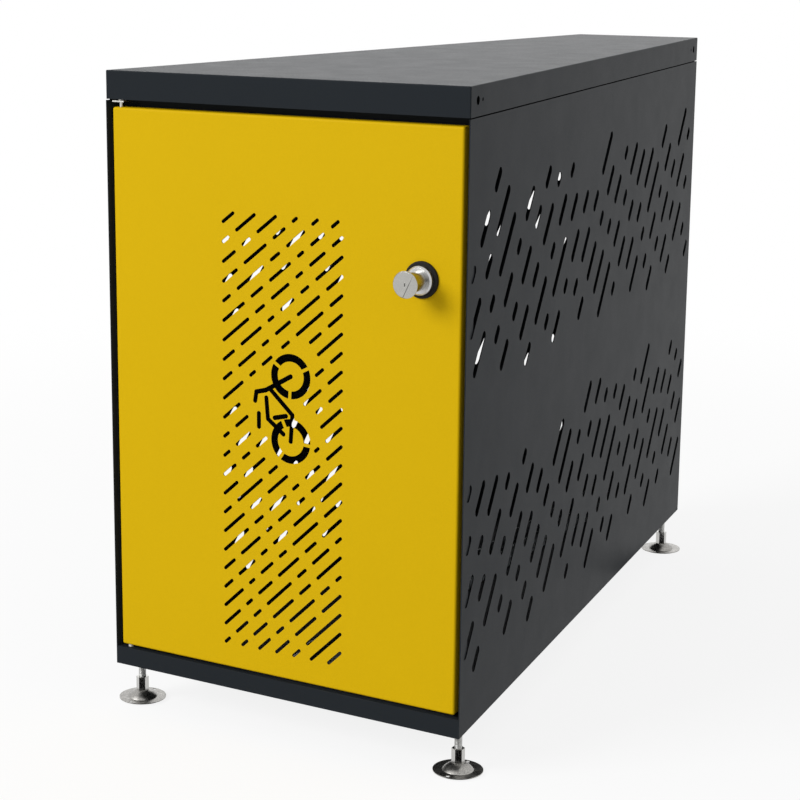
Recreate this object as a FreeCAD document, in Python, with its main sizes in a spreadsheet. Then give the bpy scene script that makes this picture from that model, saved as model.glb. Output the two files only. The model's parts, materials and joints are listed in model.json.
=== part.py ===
import FreeCAD, Part
import math
import os
import re
import Sketcher
from FreeCAD import Placement, Rotation, Vector

# Bicycle locker: a wedge-shaped steel cabinet on four levelling feet, with a slotted door,
# slotted side panels and a turning lock. Millimetres.
# Cabinet frame: X to the right seen from the front, Y from the front plane to the rear,
# Z up from the underside of the body. The model's origin is on the floor, under the middle
# of the whole locker, lock knob included.

DIMENSIONS = {
    # body
    "front_width": 850,
    "rear_width": 340,
    "body_depth": 1820,
    "body_height": 1300,
    "leg_height": 95,
    "sheet_gauge": 2,
    "roof_lip": 59.5,
    "roof_bend": 2.4,
    "seam_gap": 2.5,
    "roof_inset": 4,
    "corner_notch": 8,
    "panel_gap": 0.1,
    "sill_height": 40,
    "sill_depth": 32,
    "sill_lift": 2,
    # door opening
    "stop_front": 42,
    "stop_inner": 393,
    "lock_stop_inner": 391,
    "jamb_front": 12,
    "header_bottom": 1200,
    "header_depth": 28,
    "header_length": 816,
    # rear posts
    "post_leg": 32,
    "post_inner": 138,
    # lip fastenings, measured along the side panel from each end
    "plug_station": 42,
    "plug_height": 1271,
    "plug_radius": 8.8,
    "plug_length": 3.6,
    "rivet_station": 70,
    "rivet_radius": 3.8,
    "rivet_length": 8,
    "lip_hole_start": 3,
    "lip_hole_length": 5.8,
    # door
    "door_width": 822,
    "door_height": 1177.5,
    "door_bottom": 46.5,
    "door_recess": 3,
    "door_depth": 30,
    "door_bend": 5,
    "door_lip": 18,
    "hinge_offset": 395.5,
    "hinge_depth": 14,
    "pin_radius": 4,
    "running_gap": 0.05,
    "bush_radius": 6,
    "bush_length": 14,
    "bush_stand": 0.2,
    "spacer_radius": 5.5,
    "spacer_gap": 0.3,
    "pin_head_radius": 7,
    "pin_head_depth": 2,
    "pin_engagement": 16,
    "bracket_width": 29,
    "bracket_shift": 1.5,
    "bracket_gauge": 3,
    "bracket_level": 1234.5,
    "bracket_top": 1288,
    "bracket_reach": 10,
    "bracket_screw_level": 1268,
    "bracket_screw_shift": 6,
    "bracket_screw_radius": 3,
    "bracket_screw_head": 5.5,
    "bracket_screw_length": 11,
    "stiffener_gauge": 1.5,
    "stiffener_left": -200,
    "stiffener_right": 230,
    "stiffener_end": 12,
    "hat_flange": 30,
    "hat_crown": 14.5,
    "hat_depth": 18.5,
    "buffer_radius": 7,
    "buffer_gap": 0.3,
    "buffer_offset": 402,
    "buffer_low": 220,
    "buffer_high": 1040,
    # lock
    "lock_offset": 325,
    "lock_height": 925,
    "knob_reach": 67,
    "knob_radius": 26.6,
    "knob_length": 5,
    "grip_radius": 19.5,
    "neck_radius": 15,
    "spindle_radius": 10,
    "collar_radius": 28.75,
    "collar_depth": 17,
    "collar_bevel": 3,
    "barrel_radius": 20,
    "barrel_end": 12,
    "barrel_gap": 0.2,
    "nut_circumradius": 30,
    "nut_depth": 8,
    "gasket_radius": 36.75,
    "gasket_depth": 6,
    "knob_rear_bevel": 1,
    "knob_front_bevel": 1.5,
    "thumb_offset": 7.5,
    "thumb_slope": 8,
    "thumb_roll": 26.1,
    "cam_length": 82.5,
    "cam_width": 26,
    "cam_gauge": 3,
    "cam_depth": 46.5,
    "cam_screw_radius": 4,
    "cam_screw_head": 7.5,
    "cam_screw_head_depth": 5,
    "cam_screw_reach": 15,
    "cam_screw_bore": 18,
    "key_radius": 5,
    "key_length": 18,
    "keyway_width": 1.8,
    "keyway_height": 6.5,
    "keyway_depth": 7,
    "strike_width": 24,
    "strike_gauge": 1.5,
    "strike_height": 84,
    "strike_screw_shift": 30,
    "strike_screw_radius": 2.5,
    "strike_screw_head": 4.5,
    "strike_screw_length": 3.5,
    # feet
    "foot_front_offset": 396,
    "foot_front_depth": 55,
    "foot_rear_offset": 160,
    "foot_rear_depth": 1730,
    "flange_radius": 52,
    "flange_level": 4,
    "flange_gauge": 2,
    "anchor_radius": 4.25,
    "anchor_spacing": 90,
    "dome_base": 33,
    "dome_top": 13,
    "dome_height": 14,
    "stud_radius": 8,
    "stud_top": 27,
    "stud_clearance": 0.5,
    "sleeve_height": 32,
    "hex_circumradius": 13.8,
    "sleeve_turn": 30,
    "pad_inset": 5,
    "plate_gauge": 5,
    "plate_level": 8,
    "plate_reach": 45,
    "plate_inner_front": 56,
    "plate_inner_rear": 60,
    "foot_nut_depth": 13,
    # slots
    "door_slot": 7.5,
    "door_block_left": -139,
    "door_block_right": 148.5,
    "door_block_bottom": 100,
    "door_block_top": 1026,
    "door_row_pitch": 41,
    "door_slot_gap": 20,
    "side_slot": 20,
    "side_row_pitch": 91.4,
    "side_slot_angle": 50,
    "side_slot_gap": 44,
    "side_first": 22,
    "side_last": 1806,
    # bicycle symbol cut in the door
    "symbol_across": 26,
    "symbol_height": 631,
    "wheel_offset": 68,
    "wheel_outer": 47,
    "wheel_inner": 31,
    "symbol_stroke": 10,
    "symbol_bridge": 7,
    "symbol_margin": 11,
    "rear_bridge_angle": 25,
    "front_bridge_angle": 57,
    # wheel guide rails
    "guide_gap": 56,
    "guide_foot": 28,
    "guide_height": 30,
    "guide_start": 130,
    "guide_length": 1570,
    "guide_bolt_offset": 43,
    "guide_bolt_radius": 4,
    "guide_bolt_head": 7,
    "guide_bolt_head_depth": 4,
    "guide_nut_circumradius": 7.5,
    "guide_nut_depth": 6,
}

# Lengths of the slots along a row, repeated in this order.
DOOR_LENGTHS = (38, 66, 20, 42, 26, 84, 30, 56, 22, 48, 70)
SIDE_LENGTHS = (38, 84, 60, 104, 40, 150, 72, 44, 92, 56, 118, 42, 80)
# The bands of the side panel: lowest start and highest end of the rows, and how far a row
# starts above the one or ends below the other.
SIDE_BANDS = ((104, 568), (694, 1136))
RAGGED_EDGE = (0, 62, 22, 84, 40, 8, 70, 30, 92, 14, 52)
DOOR_ANGLE_BOTTOM = 44
DOOR_ANGLE_TOP = 38
SHORTEST_SLOT = 15
SHORTEST_SIDE_SLOT = 34
SLOT_OVERSHOOT = 3
# Places of the guide bolts along the rails.
GUIDE_BOLT_SHARES = (0.03, 0.35, 0.66, 0.97)

TAPER = "((front_width - rear_width) / 2 / body_depth)"
SKEW = "sqrt(1 + %s^2)" % TAPER
FRONT = "(-(body_depth - knob_reach) / 2)"
DOOR_BACK = "(door_recess + door_depth)"
DOOR_TOP = "(door_bottom + door_height)"
PANEL_TOP = "(body_height - roof_lip - seam_gap)"
ROOF_UNDERSIDE = "(body_height - sheet_gauge)"

doc = FreeCAD.newDocument("bicycle_locker")
sheet = doc.addObject("Spreadsheet::Sheet", "dims")
for row, (alias, size) in enumerate(DIMENSIONS.items(), start=1):
    sheet.set("A%d" % row, str(size))
    sheet.setAlias("A%d" % row, alias)
doc.recompute()

nodes = []


def formula(text):
    """Turn a formula of alias names into an expression that reads the sheet."""
    return re.sub(r"\b[a-z]+(?:_[a-z]+)+\b", lambda word: "dims." + word.group(), str(text))


def value(text):
    """Size of a formula in millimetres or degrees."""
    result = sheet.evalExpression(formula(text))
    return float(getattr(result, "Value", result))


def bind(thing, name, text):
    thing.setExpression(name, formula(text))


def panel_edge(depth, inset):
    """X of a plane parallel to the right side panel, at a depth and a distance inside its face."""
    return "(front_width / 2 - %s * (%s) - %s * (%s))" % (TAPER, depth, SKEW, inset)


def place(thing, x="0", y="0", z="0", axis=None, angle="0"):
    """Set a position given in the cabinet frame, and a turn about one axis."""
    if axis is not None:
        thing.Placement = Placement(Vector(), Rotation(axis, 1))
        bind(thing, "Placement.Rotation.Angle", "1 deg * (%s)" % angle)
    bind(thing, "Placement.Base.x", x)
    bind(thing, "Placement.Base.y", "%s + %s" % (FRONT, y))
    bind(thing, "Placement.Base.z", "leg_height + %s" % z)
    return thing


def place_local(thing, x="0", y="0", z="0", axis=None, angle=0):
    """Set a position in the frame of the piece that the shape belongs to."""
    if axis is not None:
        thing.Placement = Placement(Vector(), Rotation(axis, angle))
    bind(thing, "Placement.Base.x", x)
    bind(thing, "Placement.Base.y", y)
    bind(thing, "Placement.Base.z", z)
    return thing


def node(thing, label):
    """Name a finished sub-part."""
    thing.Label = label
    nodes.append(thing)
    return thing


def box(length, width, height, x="0", y="0", z="0"):
    solid = doc.addObject("Part::Box", "block")
    bind(solid, "Length", length)
    bind(solid, "Width", width)
    bind(solid, "Height", height)
    return place_local(solid, x, y, z)


def cylinder(radius, height, x="0", y="0", z="0", along="z"):
    solid = doc.addObject("Part::Cylinder", "round")
    bind(solid, "Radius", radius)
    bind(solid, "Height", height)
    if along == "y":
        return place_local(solid, x, y, z, Vector(1, 0, 0), -90)
    return place_local(solid, x, y, z)


def hexagon(circumradius, height, x="0", y="0", z="0", along="z"):
    solid = doc.addObject("Part::Prism", "hexagon")
    solid.Polygon = 6
    bind(solid, "Circumradius", circumradius)
    bind(solid, "Height", height)
    if along == "y":
        return place_local(solid, x, y, z, Vector(1, 0, 0), -90)
    return place_local(solid, x, y, z)


def fuse(solids):
    joined = doc.addObject("Part::MultiFuse", "joined")
    joined.Shapes = solids
    return joined


def group(solids):
    gathered = doc.addObject("Part::Compound", "gathered")
    gathered.Links = solids
    return gathered


def cut(base, tools):
    result = doc.addObject("Part::Cut", "cut")
    result.Base = base
    result.Tool = tools[0] if len(tools) == 1 else group(tools)
    return result


def mirrored(source):
    """The same shape on the other side of the middle plane."""
    result = doc.addObject("Part::Mirroring", "mirrored")
    result.Source = source
    result.Normal = Vector(1, 0, 0)
    return result


def origin_plane(body, role):
    return next(item for item in body.Origin.OriginFeatures if item.Role == role)


def outline(body, role, loops):
    """Closed polygons on one of the body's planes, each corner fixed by two formulas."""
    sketch = body.newObject("Sketcher::SketchObject", "outline")
    sketch.AttachmentSupport = [(origin_plane(body, role), "")]
    sketch.MapMode = "FlatFace"
    first = 0
    for corners in loops:
        points = [Vector(value(x), value(y), 0) for x, y in corners]
        count = len(points)
        for index in range(count):
            sketch.addGeometry(Part.LineSegment(points[index], points[(index + 1) % count]), False)
        for index in range(count):
            following = first + (index + 1) % count
            sketch.addConstraint(Sketcher.Constraint("Coincident", first + index, 2, following, 1))
        for index, (x, y) in enumerate(corners):
            for kind, text in (("DistanceX", x), ("DistanceY", y)):
                rule = Sketcher.Constraint(kind, -1, 1, first + index, 1, value(text))
                number = sketch.addConstraint(rule)
                sketch.setExpression("Constraints[%d]" % number, formula(text))
        first += count
    return sketch


def pad(body, role, loops, length, reverse=False, offset=None):
    feature = body.newObject("PartDesign::Pad", "pad")
    sketch = outline(body, role, loops)
    if offset is not None:
        bind(sketch, "AttachmentOffset.Base.z", offset)
    feature.Profile = sketch
    sketch.Visibility = False
    bind(feature, "Length", length)
    feature.Reversed = reverse
    body.Tip = feature
    doc.recompute()
    return feature


def new_body():
    return doc.addObject("PartDesign::Body", "piece")


def prism(role, loops, length, reverse=False):
    """A body of one padded outline."""
    body = new_body()
    pad(body, role, loops, length, reverse)
    return body


def turned(profile):
    """A body turned about its own Y axis. Profile corners are radius and distance along Y."""
    body = new_body()
    sketch = outline(body, "XY_Plane", [profile])
    feature = body.newObject("PartDesign::Revolution", "turned")
    feature.Profile = sketch
    feature.ReferenceAxis = (sketch, ["V_Axis"])
    feature.Angle = 360
    sketch.Visibility = False
    body.Tip = feature
    return body


def rounded(body, feature, radius, chosen):
    """Round the edges whose middle passes the test."""
    names = []
    for index, edge in enumerate(feature.Shape.Edges, start=1):
        middle = edge.valueAt((edge.FirstParameter + edge.LastParameter) / 2)
        if chosen(middle):
            names.append("Edge%d" % index)
    fillet = body.newObject("PartDesign::Fillet", "bend")
    fillet.Base = (feature, names)
    bind(fillet, "Radius", radius)
    body.Tip = fillet
    doc.recompute()
    return fillet


def folded_pan(body, feature, direction):
    """Leave sheet of the body's gauge inside the form, open towards one direction."""
    faces = feature.Shape.Faces
    furthest = max(range(len(faces)), key=lambda index: faces[index].CenterOfMass.dot(direction))
    shell = body.newObject("PartDesign::Thickness", "sheet")
    shell.Base = (feature, ["Face%d" % (furthest + 1)])
    bind(shell, "Value", "sheet_gauge")
    shell.Mode = 0
    shell.Join = 1
    shell.Reversed = 1
    body.Tip = shell
    doc.recompute()
    return shell


def obround(start, end, width, near, far):
    """A slot cutter with round ends, between two points of the XZ plane, through Y."""
    along = (end - start).normalize()
    across = Vector(-along.z, 0, along.x) * (width / 2)
    lift = Vector(0, near, 0)
    corners = [point + lift for point in (start + across, end + across, end - across, start - across)]
    tip = end + along * (width / 2) + lift
    tail = start - along * (width / 2) + lift
    edges = [
        Part.LineSegment(corners[0], corners[1]).toShape(),
        Part.Arc(corners[1], tip, corners[2]).toShape(),
        Part.LineSegment(corners[2], corners[3]).toShape(),
        Part.Arc(corners[3], tail, corners[0]).toShape(),
    ]
    return Part.Face(Part.Wire(edges)).extrude(Vector(0, far - near, 0))


def cutter(shapes):
    """A group of cutting shapes as one object."""
    feature = doc.addObject("Part::Feature", "cutter")
    feature.Shape = Part.makeCompound(shapes)
    return feature


# Roof


def lip_stations(alias):
    """Both ends of a side, as distances along the side panel."""
    near = value(alias)
    return (near, value("body_depth * " + SKEW) - near)


def lip_pins(radius, near, length, alias):
    """Round pins across both long roof lips: a right-hand group and its mirror image."""
    pins = []
    for station in lip_stations(alias):
        pins.append(cylinder(radius, length, str(station), near, "plug_height", "y"))
    right = place_side(group(pins))
    return [right, mirrored(right)]


def place_side(thing):
    """Put a piece drawn along the right side panel in its place."""
    return place(thing, "front_width / 2", "0", "0", Vector(0, 0, 1), "90 + atan(%s) / 1 deg" % TAPER)


def roof_outline():
    return [
        ("-front_width / 2", "0"),
        ("front_width / 2", "0"),
        ("rear_width / 2", "body_depth"),
        ("-rear_width / 2", "body_depth"),
    ]


def build_roof():
    body = new_body()
    block = pad(body, "XY_Plane", [roof_outline()], "roof_lip")
    bent = rounded(body, block, "roof_bend", lambda middle: middle.z > 0.1)
    folded_pan(body, bent, Vector(0, 0, -1))
    place(body, "0", "0", "body_height - roof_lip")
    holes = lip_pins("plug_radius", "-lip_hole_start", "lip_hole_length", "plug_station")
    holes += lip_pins("rivet_radius", "-lip_hole_start", "lip_hole_length", "rivet_station")
    node(cut(body, holes), "roof_cap")
    node(group(lip_pins("plug_radius - running_gap", "0", "plug_length", "plug_station")), "roof_plugs")
    rivets = lip_pins("rivet_radius - running_gap", "0", "rivet_length", "rivet_station")
    node(group(rivets), "roof_rivets")


# Side and rear panels


def panel_profile():
    """Skin, step and upstand of a panel, as distance inwards and height."""
    top = PANEL_TOP
    return [
        ("0", "0"),
        ("sheet_gauge", "0"),
        ("sheet_gauge", top + " - sheet_gauge"),
        ("roof_inset + sheet_gauge", top + " - sheet_gauge"),
        ("roof_inset + sheet_gauge", ROOF_UNDERSIDE),
        ("roof_inset", ROOF_UNDERSIDE),
        ("roof_inset", top),
        ("0", top),
    ]


def notch_tools(length):
    """Blocks that shorten the step and the upstand at both ends."""
    notch = value("corner_notch")
    bottom = value(PANEL_TOP + " - sheet_gauge")
    start = Vector(-1, value("sheet_gauge"), bottom)
    tools = []
    for shift in (0, length - notch + 1):
        tools.append(Part.makeBox(notch, notch, notch * 10, start + Vector(shift, 0, 0)))
    return tools


def side_slot_tools():
    """Slots of the side panel: parallel rows that rise to the rear, in two ragged bands."""
    angle = math.radians(value("side_slot_angle"))
    direction = Vector(math.cos(angle), 0, math.sin(angle))
    width = value("side_slot")
    first = value("side_first")
    last = value("side_last")
    pitch = value("side_row_pitch")
    gap = value("side_slot_gap")
    tools = []
    for band, (band_bottom, band_top) in enumerate(SIDE_BANDS):
        rows = int((last - first) / pitch) + int(band_top / math.tan(angle) / pitch) + 1
        for row in range(rows):
            foot = last - row * pitch
            raised = RAGGED_EDGE[row % len(RAGGED_EDGE)]
            lowered = RAGGED_EDGE[(3 * row + 5 * band + 4) % len(RAGGED_EDGE)]
            low = max(band_bottom + raised, (first - foot) * math.tan(angle))
            high = min(band_top - lowered, (last - foot) * math.tan(angle))
            travel = low / math.sin(angle)
            finish = high / math.sin(angle)
            step = row * 5 + 3 * band
            while travel < finish - SHORTEST_SIDE_SLOT:
                length = min(SIDE_LENGTHS[step % len(SIDE_LENGTHS)], finish - travel)
                start = Vector(foot, 0, 0) + direction * (travel + width / 2)
                end = Vector(foot, 0, 0) + direction * (travel + length - width / 2)
                tools.append(obround(start, end, width, -SLOT_OVERSHOOT, SLOT_OVERSHOOT))
                travel += length + gap
                step += 1
    return tools


def build_panels():
    length = value("body_depth * " + SKEW)
    skin = prism("YZ_Plane", [panel_profile()], "body_depth * " + SKEW)
    tools = side_slot_tools() + notch_tools(length)
    radius = value("rivet_radius")
    for station in lip_stations("rivet_station"):
        centre = Vector(station, value("roof_inset") - 1, value("plug_height"))
        tools.append(Part.makeCylinder(radius, value("sheet_gauge") + 2, centre, Vector(0, 1, 0)))
    right = place_side(cut(skin, [cutter(tools)]))
    node(right, "side_panel_right")
    node(mirrored(right), "side_panel_left")

    rear_length = "2 * (%s - panel_gap)" % panel_edge("body_depth", "sheet_gauge")
    rear = prism("YZ_Plane", [panel_profile()], rear_length)
    rear_cut = cut(rear, [cutter(notch_tools(value(rear_length)))])
    node(rear_cut, "rear_panel")
    place(rear_cut, "%s / 2" % rear_length, "body_depth", "0", Vector(0, 0, 1), "180")


# Floor, sill and frame of the opening


def tapered_plan(front, rear):
    """Trapezium between two depths that fills the room between the side panels."""
    return [
        ("-" + panel_edge(front, "sheet_gauge"), front),
        (panel_edge(front, "sheet_gauge"), front),
        (panel_edge(rear, "sheet_gauge"), rear),
        ("-" + panel_edge(rear, "sheet_gauge"), rear),
    ]


def build_floor():
    inside_rear = "body_depth - sheet_gauge"
    tray = new_body()
    plan = tapered_plan("sill_depth", inside_rear)
    block = pad(tray, "XY_Plane", [plan], "sill_height - sill_lift")
    folded_pan(tray, block, Vector(0, 0, -1))
    place(tray, "0", "0", "sill_lift")
    node(cut(tray, guide_bolt_holes()), "floor_tray")

    sill = new_body()
    block = pad(sill, "XY_Plane", [tapered_plan("0", "sill_depth")], "sill_height")
    folded_pan(sill, block, Vector(0, 1, 0))
    place(sill)
    pin_hole = cylinder("pin_radius + running_gap", "sill_height")
    place(pin_hole, "-hinge_offset", "hinge_depth", "sill_height / 2")
    node(cut(sill, [pin_hole]), "front_sill")


def jamb_profile(stop_inner):
    front = "jamb_front"
    face = "stop_front"
    back = "(stop_front + sheet_gauge)"
    return [
        (panel_edge(front, "sheet_gauge"), front),
        (panel_edge(back, "sheet_gauge"), back),
        (stop_inner, back),
        (stop_inner, face),
        (panel_edge(face, "2 * sheet_gauge"), face),
        (panel_edge(front, "2 * sheet_gauge"), front),
    ]


def post_profile():
    back = "(body_depth - sheet_gauge)"
    inner = "(body_depth - 2 * sheet_gauge)"
    front = "(body_depth - sheet_gauge - post_leg)"
    return [
        (panel_edge(back, "sheet_gauge"), back),
        (panel_edge(front, "sheet_gauge"), front),
        (panel_edge(front, "2 * sheet_gauge"), front),
        (panel_edge(inner, "2 * sheet_gauge"), inner),
        ("post_inner", inner),
        ("post_inner", back),
    ]


def build_frame():
    jamb_height = "header_bottom - sill_height"
    hinge_jamb = prism("XY_Plane", [mirror_x(jamb_profile("stop_inner"))], jamb_height)
    node(place(hinge_jamb, "0", "0", "sill_height"), "hinge_jamb")
    lock_jamb = prism("XY_Plane", [jamb_profile("lock_stop_inner")], jamb_height)
    place(lock_jamb, "0", "0", "sill_height")
    node(cut(lock_jamb, strike_holes()), "lock_jamb")

    post_height = "%s - corner_notch - sill_height" % PANEL_TOP
    for side, profile in (("right", post_profile()), ("left", mirror_x(post_profile()))):
        post = prism("XY_Plane", [profile], post_height)
        node(place(post, "0", "0", "sill_height"), "rear_post_" + side)

    front = "stop_front"
    inner = "(stop_front + sheet_gauge)"
    rear = "(stop_front + header_depth)"
    bottom = "header_bottom"
    top = ROOF_UNDERSIDE
    channel = [
        (front, bottom),
        (rear, bottom),
        (rear, bottom + " + sheet_gauge"),
        (inner, bottom + " + sheet_gauge"),
        (inner, top + " - sheet_gauge"),
        (rear, top + " - sheet_gauge"),
        (rear, top),
        (front, top),
    ]
    rail = place(prism("YZ_Plane", [channel], "header_length"), "-header_length / 2")
    node(cut(rail, bracket_holes()), "header_rail")


def mirror_x(profile):
    return [("-" + x, y) for x, y in profile]


# Hinge pins, bracket and strike


def bracket_pins(radius, near, length):
    """Two screws side by side through the upright leg of the hinge bracket."""
    pins = []
    for shift in ("-bracket_screw_shift", "bracket_screw_shift"):
        x = "-hinge_offset - bracket_shift + " + shift
        pins.append(place(cylinder(radius, length, along="y"), x, near, "bracket_screw_level"))
    return pins


def bracket_holes():
    """Screw holes through the bracket and the header behind it."""
    radius = "bracket_screw_radius + running_gap"
    return bracket_pins(radius, "stop_front - 2 * bracket_gauge", "4 * bracket_gauge")


def strike_pins(radius, near, length):
    """Two screws above each other through the strike plate."""
    pins = []
    for z in ("lock_height - strike_screw_shift", "lock_height + strike_screw_shift"):
        x = "lock_stop_inner + strike_width / 2"
        pins.append(place(cylinder(radius, length, along="y"), x, near, z))
    return pins


def strike_holes():
    """Screw holes through the jamb and the strike plate behind it."""
    return strike_pins("strike_screw_radius + running_gap", "stop_front - sheet_gauge", "4 * sheet_gauge")


def screws(maker, head, shank, face):
    """Headed screws: each head lies against a face and its shank runs to the rear.

    Head and shank are pairs of radius and length.
    """
    heads = maker(head[0], "%s - %s" % (face, head[1]), head[1])
    shanks = maker(shank[0], "%s - 1" % face, shank[1] + " + 1")
    return group([fuse(pair) for pair in zip(heads, shanks)])


def build_hinge():
    level = "bracket_level"
    angle_profile = [
        ("hinge_depth - bracket_reach", level),
        ("stop_front", level),
        ("stop_front", "bracket_top"),
        ("stop_front - bracket_gauge", "bracket_top"),
        ("stop_front - bracket_gauge", level + " + bracket_gauge"),
        ("hinge_depth - bracket_reach", level + " + bracket_gauge"),
    ]
    bracket = prism("YZ_Plane", [angle_profile], "bracket_width")
    place(bracket, "-hinge_offset - bracket_shift - bracket_width / 2")
    x = "-hinge_offset"
    y = "hinge_depth"
    pin_bore = "pin_radius + running_gap"
    pin_hole = place(cylinder(pin_bore, "3 * bracket_gauge"), x, y, level + " - bracket_gauge")
    node(cut(bracket, [pin_hole] + bracket_holes()), "hinge_bracket")
    screw_set = screws(
        bracket_pins,
        ("bracket_screw_head", "bracket_gauge"),
        ("bracket_screw_radius", "bracket_screw_length"),
        "(stop_front - bracket_gauge)",
    )
    node(screw_set, "hinge_bracket_screws")

    top_level = "(bracket_level + bracket_gauge)"
    shank_bottom = "(%s - pin_engagement + bracket_gauge)" % DOOR_TOP
    head = place(cylinder("pin_head_radius", "pin_head_depth"), x, y, top_level)
    shank = place(cylinder("pin_radius", "%s - %s + 1" % (top_level, shank_bottom)), x, y, shank_bottom)
    node(fuse([head, shank]), "hinge_pin_top")
    sill_underside = "(sill_height - sheet_gauge)"
    head = place(cylinder("pin_head_radius", "pin_head_depth"), x, y, sill_underside + " - pin_head_depth")
    shank_length = "door_bottom + pin_engagement - %s" % sill_underside
    shank = place(cylinder("pin_radius", shank_length + " + 1"), x, y, sill_underside + " - 1")
    node(fuse([head, shank]), "hinge_pin_bottom")
    ring = place(cylinder("spacer_radius", "door_bottom - sill_height - spacer_gap"), x, y, "sill_height")
    bore = place(cylinder(pin_bore, "sill_height"), x, y, "sill_height / 2")
    node(cut(ring, [bore]), "hinge_spacer")

    bushes = []
    for bottom in ("door_bottom - bush_stand", "%s - bush_length + bush_stand" % DOOR_TOP):
        bushes.append(place(cylinder("bush_radius", "bush_length"), x, y, bottom))
    bores = [place(cylinder(pin_bore, "body_height"), x, y, "0")]
    node(cut(group(bushes), bores), "hinge_bushes")


def build_strike():
    plate = box("strike_width", "strike_gauge", "strike_height")
    place(plate, "lock_stop_inner", "stop_front + sheet_gauge", "lock_height - strike_height / 2")
    node(cut(plate, strike_holes()), "strike_plate")
    screw_set = screws(
        strike_pins,
        ("strike_screw_head", "strike_screw_radius"),
        ("strike_screw_radius", "strike_screw_length"),
        "stop_front",
    )
    node(screw_set, "strike_screws")


def build_buffers():
    depth = "stop_front - %s - buffer_gap" % DOOR_BACK
    rubbers = []
    for height in ("buffer_low", "buffer_high"):
        rubber = cylinder("buffer_radius", depth, along="y")
        rubbers.append(place(rubber, "buffer_offset", "%s + buffer_gap" % DOOR_BACK, height))
    node(group(rubbers), "door_buffers")


# Wheel guide: two angle rails bolted to the floor


def guide_bolt_places():
    """Pairs of formulas, along X and Y, for the bolts of both rails."""
    spots = []
    for share in GUIDE_BOLT_SHARES:
        for x in ("guide_bolt_offset", "-guide_bolt_offset"):
            spots.append((x, "guide_start + guide_length * %s" % share))
    return spots


def guide_bolt_holes():
    """Holes through the rail feet and the floor sheet."""
    holes = []
    for x, y in guide_bolt_places():
        hole = cylinder("guide_bolt_radius + running_gap", "sill_height")
        holes.append(place(hole, x, y, "sill_height / 2"))
    return holes


def build_guide():
    face = "guide_gap / 2"
    back = "(guide_gap / 2 + sheet_gauge)"
    outer = "(guide_gap / 2 + guide_foot)"
    angle = [
        (face, "0"),
        (outer, "0"),
        (outer, "sheet_gauge"),
        (back, "sheet_gauge"),
        (back, "guide_height"),
        (face, "guide_height"),
    ]
    right = place(prism("XZ_Plane", [angle], "guide_length", True), "0", "guide_start", "sill_height")
    node(cut(group([right, mirrored(right)]), guide_bolt_holes()), "wheel_guide")

    foot_top = "(sill_height + sheet_gauge)"
    sheet_underside = "(sill_height - sheet_gauge)"
    bolts = []
    for x, y in guide_bolt_places():
        head = place(cylinder("guide_bolt_head", "guide_bolt_head_depth"), x, y, foot_top)
        shank_length = "%s - %s + 2 * guide_nut_depth" % (foot_top, sheet_underside)
        shank_bottom = "%s - 1.5 * guide_nut_depth" % sheet_underside
        shank = place(cylinder("guide_bolt_radius", shank_length), x, y, shank_bottom)
        nut = hexagon("guide_nut_circumradius", "guide_nut_depth")
        place(nut, x, y, sheet_underside + " - guide_nut_depth")
        bolts.append(fuse([head, shank, nut]))
    node(group(bolts), "guide_bolts")


# Door


def stroke_pieces(start, end, width):
    """One straight cut of the symbol. Points are forward and upward distances on the bicycle."""
    return obround(symbol_point(start), symbol_point(end), width, -SLOT_OVERSHOOT, SLOT_OVERSHOOT)


def symbol_point(spot):
    """The bicycle stands on its rear wheel: forward is up, and its top points left."""
    forward, upward = spot
    return Vector(value("symbol_across") - upward, 0, value("symbol_height") + forward)


def shortened(start, end, at_start, at_end):
    """Trim a stroke so that sheet stays between it and the next one."""
    run = math.hypot(end[0] - start[0], end[1] - start[1])
    unit = ((end[0] - start[0]) / run, (end[1] - start[1]) / run)
    first = (start[0] + unit[0] * at_start, start[1] + unit[1] * at_start)
    last = (end[0] - unit[0] * at_end, end[1] - unit[1] * at_end)
    return first, last


def symbol_strokes():
    """Frame, fork, saddle and handlebar of the bicycle, without a rider."""
    wheel = value("wheel_offset")
    rear_axle = (-wheel, 0)
    front_axle = (wheel, 0)
    crank = (-12, -4)
    seat = (-27, 55)
    head = (33, 60)
    fork_crown = (38, 51)
    bar = (27, 83)
    grip = (8, 86)
    return [
        (rear_axle, crank),
        (crank, fork_crown),
        shortened(rear_axle, seat, 22, 0),
        shortened(seat, head, 0, 16),
        shortened(crank, seat, 16, 17),
        (front_axle, head),
        (head, bar),
        (bar, grip),
        ((-46, 77), (-18, 77)),
    ]


def wheel_cutter(centre, first_bridge):
    """A ring with three bridges that keep the sheet inside it, at angles from forward to up."""
    outer = value("wheel_outer")
    middle = symbol_point(centre)
    through = Vector(0, 1, 0)
    base = middle - through * SLOT_OVERSHOOT
    ring = Part.makeCylinder(outer, 2 * SLOT_OVERSHOOT, base, through)
    ring = ring.cut(Part.makeCylinder(value("wheel_inner"), 2 * SLOT_OVERSHOOT, base, through))
    bridge = value("symbol_bridge")
    for turn in (0, 120, 240):
        corner = Vector(0, -2 * SLOT_OVERSHOOT, -bridge / 2)
        bar = Part.makeBox(outer + 5, 4 * SLOT_OVERSHOOT, bridge, corner)
        bar.Placement = Placement(middle, Rotation(through, -90 - first_bridge - turn)) * bar.Placement
        ring = ring.cut(bar)
    return ring


def symbol_tools():
    stroke = value("symbol_stroke")
    wheel = value("wheel_offset")
    strokes = symbol_strokes()
    pieces = [stroke_pieces(start, end, stroke) for start, end in strokes]
    pieces.append(wheel_cutter((-wheel, 0), value("rear_bridge_angle")))
    pieces.append(wheel_cutter((wheel, 0), value("front_bridge_angle")))
    merged = pieces[0].multiFuse(pieces[1:])
    return merged.Solids


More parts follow.
